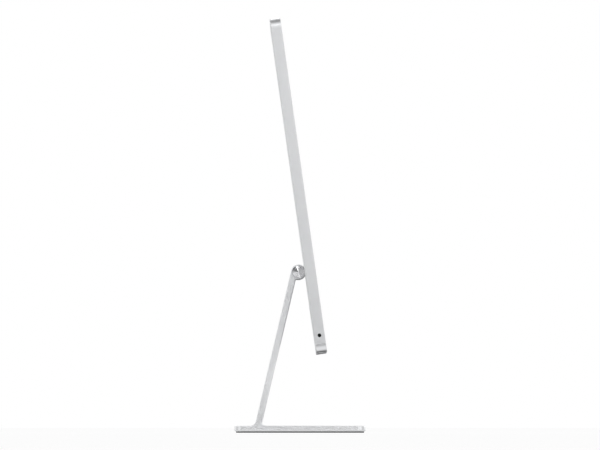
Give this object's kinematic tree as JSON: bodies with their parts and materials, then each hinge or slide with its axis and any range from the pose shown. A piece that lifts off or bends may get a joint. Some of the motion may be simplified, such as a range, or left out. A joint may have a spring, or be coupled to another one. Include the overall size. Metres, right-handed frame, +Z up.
{
  "type": "all-in-one computer",
  "caption": "Slim desktop computer built behind a flat display, tilting on a hinged barrel above a bent aluminium foot and upright with a cable hole.",
  "frame": {"origin": "on the table plane, at the centre of the bounding box's bottom: under the middle of the foot", "axes": "+X to the right of a person facing the screen, -Y out of the screen towards that person, +Z up"},
  "size_m": [0.547, 0.147, 0.4609],
  "materials": {
    "stand_aluminium": "fine bead-blasted, clear anodised silver",
    "housing_aluminium": "fine bead-blasted, clear anodised silver",
    "button_aluminium": "clear anodised, turned face",
    "polished_cap": "polished, circular spun grain",
    "hinge_steel": "machined, satin nickel plated",
    "spring_steel": "drawn wire, oiled",
    "screw_steel": "zinc plated",
    "bush_bronze": "sintered bronze, satin",
    "foot_rubber": "moulded, matt grey",
    "cover_glass": "clear cover glass over black print and picture area, gloss",
    "adhesive_foam": "foam tape, matt black",
    "lcd_glass": "liquid crystal cell with polarisers, gloss",
    "lens_glass": "coated lens, gloss",
    "backlight_plastic": "white reflector and light guide, satin",
    "tray_steel": "pressed sheet",
    "weight_steel": "pressed plate, black oxide",
    "black_plastic": "moulded, matt black",
    "cone_paper": "coated pulp cone, matt",
    "circuit_board": "solder mask, satin green-black",
    "chip_package": "moulded package, satin",
    "copper": "bare copper, satin",
    "nickel": "nickel plate",
    "flex_film": "polyimide film, gloss amber"
  },
  "bodies": {
    "stand": {"stand": "stand_aluminium", "foot_pad": "foot_rubber", "hinge_cap_left": "polished_cap", "shaft_bush_left": "bush_bronze", "torsion_spring_left": "spring_steel", "hinge_cap_right": "polished_cap", "shaft_bush_right": "bush_bronze", "torsion_spring_right": "spring_steel"},
    "display": {"chin_weight_left": "weight_steel", "fin_stack_left": "copper", "fan_case_left": "black_plastic", "speaker_box_left": "black_plastic", "speaker_cone_left": "cone_paper", "antenna_left": "flex_film", "chin_weight_right": "weight_steel", "fin_stack_right": "copper", "fan_case_right": "black_plastic", "speaker_box_right": "black_plastic", "speaker_cone_right": "cone_paper", "antenna_right": "flex_film", "hinge_arm": "hinge_steel", "hinge_shaft": "hinge_steel", "rear_housing": "housing_aluminium", "cover_glass": "cover_glass", "glass_adhesive": "adhesive_foam", "lcd_cell": "lcd_glass", "backlight_unit": "backlight_plastic", "panel_tray": "tray_steel", "camera_module": "black_plastic", "camera_lens": "lens_glass", "microphone_board": "circuit_board", "heat_pipe": "copper", "processor": "chip_package", "port_board": "circuit_board", "power_inlet": "black_plastic", "switch_board": "circuit_board", "headphone_jack": "black_plastic", "logic_board": "circuit_board", "clock_cell": "nickel", "display_cable": "flex_film", "flange_screw_1": "screw_steel", "flange_screw_2": "screw_steel", "flange_screw_3": "screw_steel", "flange_screw_4": "screw_steel", "flange_screw_5": "screw_steel", "flange_screw_6": "screw_steel", "usb_socket_1": "nickel", "usb_socket_2": "nickel", "usb_socket_3": "nickel", "usb_socket_4": "nickel"},
    "power_button": {"power_button": "button_aluminium"},
    "fan_impeller_left": {"fan_rotor_left": "black_plastic"},
    "fan_impeller_right": {"fan_rotor_right": "black_plastic"}
  },
  "joints": [
    {"name": "display_tilt", "type": "hinge", "parent": "stand", "child": "display", "pos_m": [0, 0.0019, 0.1802], "axis": [-1, 0, 0], "range_deg": [-13, 12]},
    {"name": "power_press", "type": "slide", "parent": "display", "child": "power_button", "axis": [0, -0.9903, 0.1392], "range_m": [0, 0.0005], "stiffness_N_per_m": 3000},
    {"name": "fan_left_spin", "type": "hinge", "parent": "display", "child": "fan_impeller_left", "pos_m": [-0.117, -0.01937, 0.11654], "axis": [0, -0.9903, 0.1392], "continuous": true},
    {"name": "fan_right_spin", "type": "hinge", "parent": "display", "child": "fan_impeller_right", "pos_m": [0.117, -0.01937, 0.11654], "axis": [0, -0.9903, 0.1392], "continuous": true}
  ]
}
